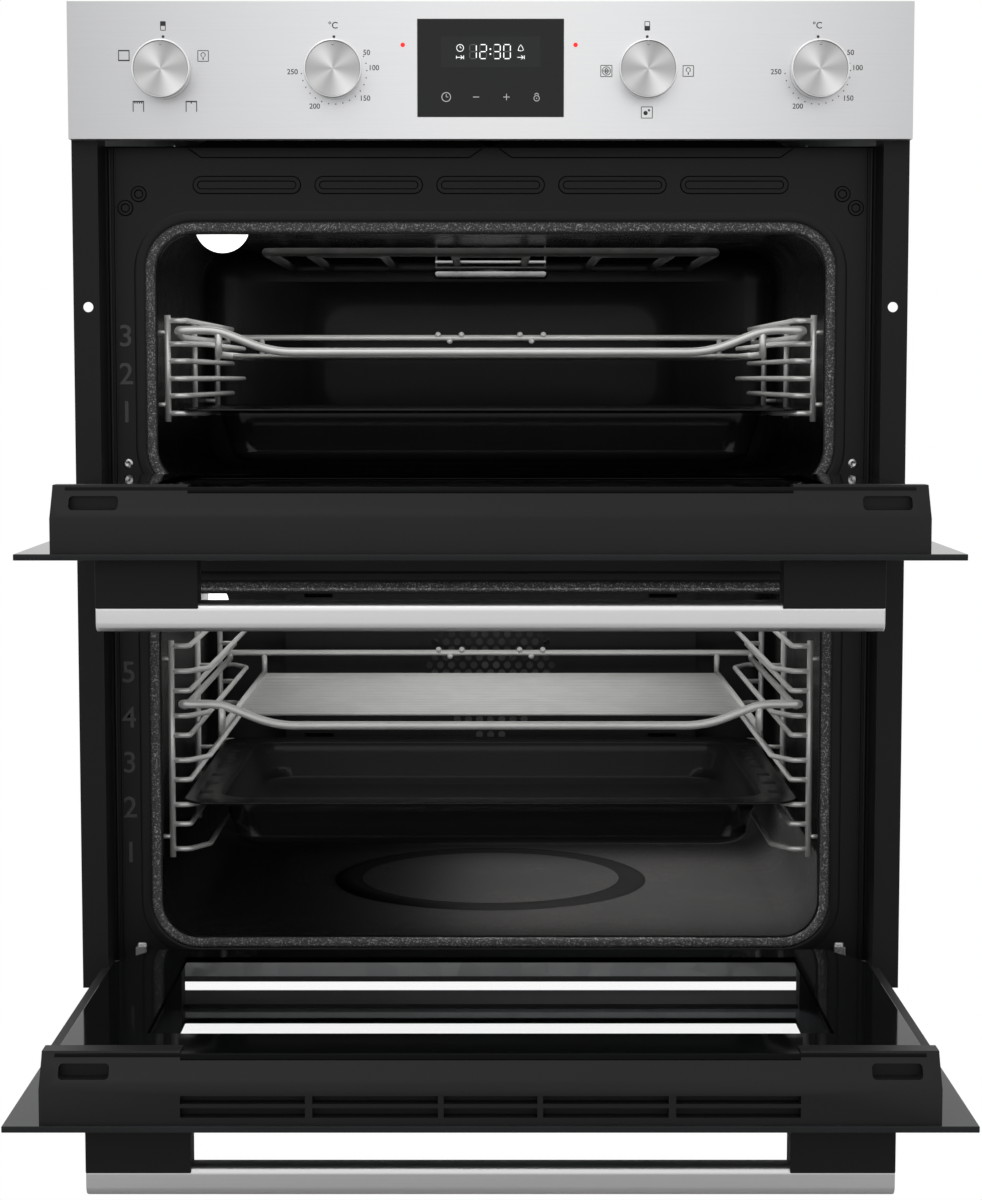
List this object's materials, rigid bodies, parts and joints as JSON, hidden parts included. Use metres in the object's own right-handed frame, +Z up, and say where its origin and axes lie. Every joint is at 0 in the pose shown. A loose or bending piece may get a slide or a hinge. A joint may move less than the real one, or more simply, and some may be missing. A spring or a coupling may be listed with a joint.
{
  "type": "built-in double oven",
  "caption": "Built-in double oven with a grill oven over a taller fan oven, drop-down doors, bar handles, wire shelves, trays and a control panel with rotary knobs.",
  "frame": {"origin": "middle of the carcass base, on the plane where the side flanges meet the cabinet front", "axes": "+Z up, +X to the right seen from the front, +Y into the cabinet"},
  "size_m": [0.595, 0.868, 0.7678],
  "materials": {
    "stainless": "brushed along the width",
    "black_steel": "satin powder coat",
    "galvanised": "galvanised sheet",
    "enamel": "vitreous enamel, satin",
    "tray_enamel": "vitreous enamel, gloss",
    "wool": "mineral wool",
    "fibre": "woven glass fibre",
    "chrome_wire": "bright",
    "element": "oxidised steel tube",
    "black_plastic": "fine texture",
    "grey_plastic": "moulded",
    "black_glass": "printed toughened glass",
    "inner_glass": "printed toughened glass",
    "display": "gloss",
    "knob_metal": "turned",
    "handle_metal": "satin",
    "red_lens": "translucent",
    "lamp_glass": "frosted",
    "white_ceramic": "matt",
    "motor_steel": "zinc"
  },
  "bodies": {
    "carcass": {"front_frame": "black_steel", "front_panel": "enamel", "base_plate": "galvanised", "outer_casing": "galvanised", "rear_cover": "galvanised", "upper_cavity": "enamel", "lower_cavity": "enamel", "upper_gasket": "fibre", "lower_gasket": "fibre", "upper_insulation": "wool", "lower_insulation": "wool", "upper_grill_element": "element", "grill_bracket": "motor_steel", "upper_base_element": "element", "ring_element": "element", "fan_cover": "enamel", "fan_motor": "motor_steel", "upper_lamp_lens": "lamp_glass", "lower_lamp_lens": "lamp_glass", "lamp_holders": "white_ceramic", "upper_rack_left": "chrome_wire", "upper_rack_right": "chrome_wire", "lower_rack_left": "chrome_wire", "lower_rack_right": "chrome_wire", "fascia_panel": "stainless", "fascia_carrier": "grey_plastic", "display_window": "display", "control_module": "grey_plastic", "indicator_lenses": "red_lens", "selector_switches": "grey_plastic", "thermostats": "motor_steel", "cooling_duct": "black_steel", "blower_housing": "galvanised", "terminal_block": "white_ceramic", "upper_hinge_mounts": "motor_steel", "lower_hinge_mounts": "motor_steel"},
    "upper_door": {"upper_door_glass": "black_glass", "upper_door_frame": "black_steel", "upper_door_cap": "black_plastic", "upper_door_inner_glass": "inner_glass", "upper_handle_bar": "handle_metal", "upper_handle_brackets": "black_plastic", "upper_hinge_channels": "motor_steel"},
    "lower_door": {"lower_door_glass": "black_glass", "lower_door_frame": "black_steel", "lower_door_cap": "black_plastic", "lower_door_inner_glass": "inner_glass", "lower_handle_bar": "handle_metal", "lower_handle_brackets": "black_plastic", "lower_hinge_channels": "motor_steel"},
    "upper_wire_shelf_body": {"upper_wire_shelf": "chrome_wire"},
    "lower_wire_shelf_body": {"lower_wire_shelf": "chrome_wire"},
    "upper_tray_body": {"upper_tray": "tray_enamel"},
    "lower_tray_body": {"lower_tray": "tray_enamel"},
    "upper_selector_knob_body": {"upper_selector_knob": "knob_metal"},
    "upper_thermostat_knob_body": {"upper_thermostat_knob": "knob_metal"},
    "lower_selector_knob_body": {"lower_selector_knob": "knob_metal"},
    "lower_thermostat_knob_body": {"lower_thermostat_knob": "knob_metal"},
    "fan_impeller_body": {"fan_impeller": "motor_steel"},
    "blower_rotor_body": {"blower_rotor": "motor_steel"}
  },
  "joints": [
    {"name": "upper_door_hinge", "type": "hinge", "parent": "carcass", "child": "upper_door", "pos_m": [0, 0.0076, 0.3508], "axis": [-1, 0, 0], "range_deg": [0, 90]},
    {"name": "lower_door_hinge", "type": "hinge", "parent": "carcass", "child": "lower_door", "pos_m": [0, 0.0076, 0.0069], "axis": [-1, 0, 0], "range_deg": [0, 90]},
    {"name": "upper_wire_shelf_slide", "type": "slide", "parent": "carcass", "child": "upper_wire_shelf_body", "axis": [0, 1, 0], "range_m": [-0.33, 0]},
    {"name": "upper_tray_slide", "type": "slide", "parent": "carcass", "child": "upper_tray_body", "axis": [0, 1, 0], "range_m": [-0.33, 0]},
    {"name": "lower_wire_shelf_slide", "type": "slide", "parent": "carcass", "child": "lower_wire_shelf_body", "axis": [0, 1, 0], "range_m": [-0.33, 0]},
    {"name": "lower_tray_slide", "type": "slide", "parent": "carcass", "child": "lower_tray_body", "axis": [0, 1, 0], "range_m": [-0.33, 0]},
    {"name": "upper_selector_knob_turn", "type": "hinge", "parent": "carcass", "child": "upper_selector_knob_body", "pos_m": [-0.23, -0.02, 0.6586], "axis": [0, 1, 0], "continuous": true},
    {"name": "upper_thermostat_knob_turn", "type": "hinge", "parent": "carcass", "child": "upper_thermostat_knob_body", "pos_m": [-0.11, -0.02, 0.6586], "axis": [0, 1, 0], "range_deg": [0, 270]},
    {"name": "lower_selector_knob_turn", "type": "hinge", "parent": "carcass", "child": "lower_selector_knob_body", "pos_m": [0.11, -0.02, 0.6586], "axis": [0, 1, 0], "continuous": true},
    {"name": "lower_thermostat_knob_turn", "type": "hinge", "parent": "carcass", "child": "lower_thermostat_knob_body", "pos_m": [0.23, -0.02, 0.6586], "axis": [0, 1, 0], "range_deg": [0, 270]},
    {"name": "fan_spin", "type": "hinge", "parent": "carcass", "child": "fan_impeller_body", "pos_m": [0, 0.43, 0.183], "axis": [0, 1, 0], "continuous": true},
    {"name": "blower_spin", "type": "hinge", "parent": "carcass", "child": "blower_rotor_body", "pos_m": [0, 0.25, 0.645], "axis": [1, 0, 0], "continuous": true}
  ]
}
